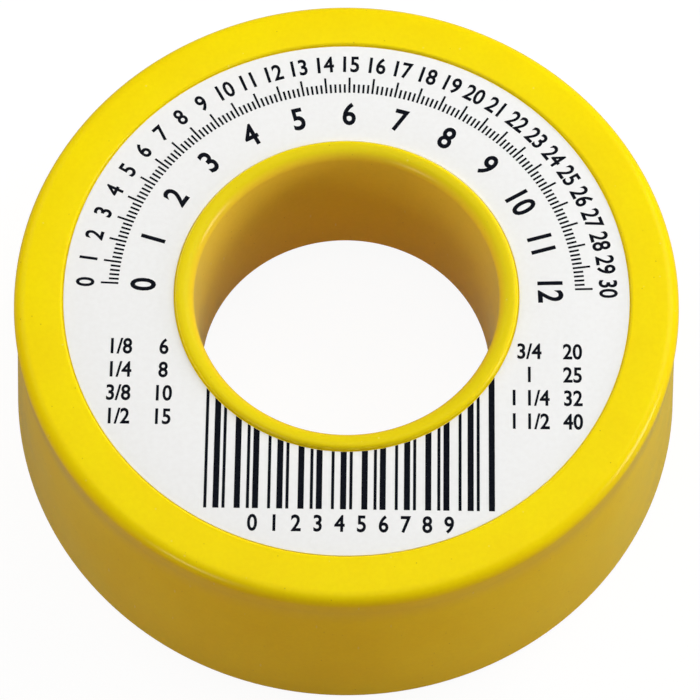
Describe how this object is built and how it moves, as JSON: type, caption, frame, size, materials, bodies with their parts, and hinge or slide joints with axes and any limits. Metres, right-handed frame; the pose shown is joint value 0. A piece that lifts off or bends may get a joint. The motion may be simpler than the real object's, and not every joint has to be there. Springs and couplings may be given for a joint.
{
  "type": "thread seal tape roll",
  "caption": "Roll of thread seal tape: a flanged spool of wound tape in a yellow plastic shell with a labelled face and an open centre bore.",
  "frame": {"origin": "centre of the base, on the surface that the roll stands on", "axes": "+Z along the roll's axis and out of the labelled face, -Y towards the foot of the label's print"},
  "size_m": [0.0487, 0.0488, 0.0168],
  "materials": {
    "spool_plastic": "moulded, satin",
    "seal_tape": "soft, waxy",
    "shell_plastic": "moulded, satin",
    "label_paper": "coated white"
  },
  "bodies": {
    "spool": {"spool": "spool_plastic"},
    "winding": {"tape_winding": "seal_tape"},
    "shell": {"shell": "shell_plastic", "face_label": "label_paper"}
  },
  "joints": [
    {"name": "shell_turn", "type": "hinge", "parent": "spool", "child": "winding", "pos_m": [0, 0, 0], "axis": [0, 0, 1], "continuous": true},
    {"name": "shell_pull", "type": "slide", "parent": "winding", "child": "shell", "axis": [0, 0, 1], "range_m": [0, 0.02]}
  ]
}
